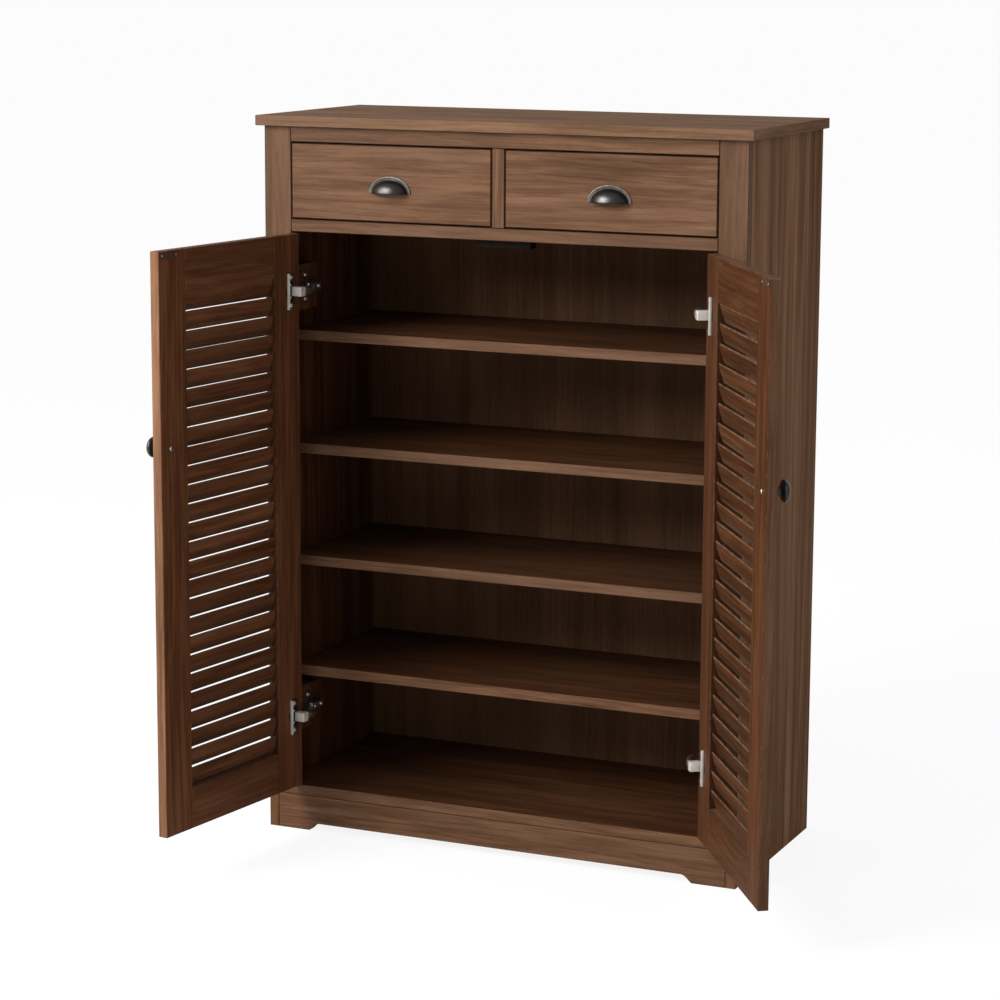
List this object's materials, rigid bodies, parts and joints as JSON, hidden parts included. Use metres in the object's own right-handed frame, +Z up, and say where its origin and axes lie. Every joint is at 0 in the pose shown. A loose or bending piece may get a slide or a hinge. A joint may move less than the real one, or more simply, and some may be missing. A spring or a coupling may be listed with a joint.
{
  "type": "shoe cabinet",
  "caption": "Tall wooden shoe cabinet: louvred double doors over open shelf compartments, small drawers with cup pulls above, overhanging top and low footed plinth.",
  "frame": {"origin": "centre of the cabinet's footprint on the floor, on the underside of the support foot below the middle of the bottom board", "axes": "+Z up, the front with doors and drawers faces -Y, the back faces +Y, +X to the right of someone facing the front's drawers from outside"},
  "size_m": [0.9856, 0.7012, 1.15],
  "materials": {
    "front_veneer": "walnut-toned woodgrain laminate, satin",
    "side_veneer": "greyer walnut-toned woodgrain laminate, satin",
    "inner_veneer": "dark walnut-toned laminate, satin",
    "back_board": "thin dark woodgrain board, matte",
    "drawer_ply": "pale plywood, sanded",
    "nickel": "nickel-plated steel",
    "black_metal": "black lacquer, satin",
    "pewter": "dark pewter finish",
    "dark_plastic": "dark brown moulded plastic"
  },
  "bodies": {
    "carcass": {"top_board": "front_veneer", "left_front_stile": "front_veneer", "right_front_stile": "front_veneer", "top_rail": "front_veneer", "lower_rail": "front_veneer", "centre_mullion": "front_veneer", "front_plinth": "front_veneer", "bottom_board": "front_veneer", "shelf_1": "front_veneer", "shelf_2": "front_veneer", "shelf_3": "front_veneer", "shelf_4": "front_veneer", "left_side_panel": "side_veneer", "right_side_panel": "side_veneer", "drawer_deck": "inner_veneer", "drawer_divider": "inner_veneer", "rear_plinth": "inner_veneer", "centre_foot": "inner_veneer", "left_drawer_guide": "inner_veneer", "right_drawer_guide": "inner_veneer", "left_top_hinge_block": "inner_veneer", "left_bottom_hinge_block": "inner_veneer", "right_top_hinge_block": "inner_veneer", "right_bottom_hinge_block": "inner_veneer", "back_panel": "back_board", "left_top_hinge_mount": "nickel", "left_bottom_hinge_mount": "nickel", "right_top_hinge_mount": "nickel", "right_bottom_hinge_mount": "nickel", "magnetic_catch": "dark_plastic"},
    "left_door": {"left_door_hinge_stile": "front_veneer", "left_door_free_stile": "front_veneer", "left_door_top_rail": "front_veneer", "left_door_bottom_rail": "front_veneer", "left_door_louvre": "front_veneer", "left_door_knob": "black_metal", "left_door_strike_plate": "nickel", "left_door_top_hinge_cup": "nickel", "left_door_bottom_hinge_cup": "nickel"},
    "right_door": {"right_door_hinge_stile": "front_veneer", "right_door_free_stile": "front_veneer", "right_door_top_rail": "front_veneer", "right_door_bottom_rail": "front_veneer", "right_door_louvre": "front_veneer", "right_door_knob": "black_metal", "right_door_strike_plate": "nickel", "right_door_top_hinge_cup": "nickel", "right_door_bottom_hinge_cup": "nickel"},
    "left_drawer": {"left_drawer_front": "front_veneer", "left_drawer_left_side": "drawer_ply", "left_drawer_right_side": "drawer_ply", "left_drawer_back": "drawer_ply", "left_drawer_bottom": "drawer_ply", "left_drawer_cup_pull": "pewter"},
    "right_drawer": {"right_drawer_front": "front_veneer", "right_drawer_left_side": "drawer_ply", "right_drawer_right_side": "drawer_ply", "right_drawer_back": "drawer_ply", "right_drawer_bottom": "drawer_ply", "right_drawer_cup_pull": "pewter"}
  },
  "joints": [
    {"name": "left_door_hinge", "type": "hinge", "parent": "carcass", "child": "left_door", "pos_m": [-0.354, -0.175, 0.522], "axis": [0, 0, -1], "range_deg": [-98, 28]},
    {"name": "right_door_hinge", "type": "hinge", "parent": "carcass", "child": "right_door", "pos_m": [0.354, -0.175, 0.522], "axis": [0, 0, 1], "range_deg": [-124, 2]},
    {"name": "left_drawer_slide", "type": "slide", "parent": "carcass", "child": "left_drawer", "axis": [0, -1, 0], "range_m": [0, 0.22]},
    {"name": "right_drawer_slide", "type": "slide", "parent": "carcass", "child": "right_drawer", "axis": [0, -1, 0], "range_m": [0, 0.22]}
  ]
}
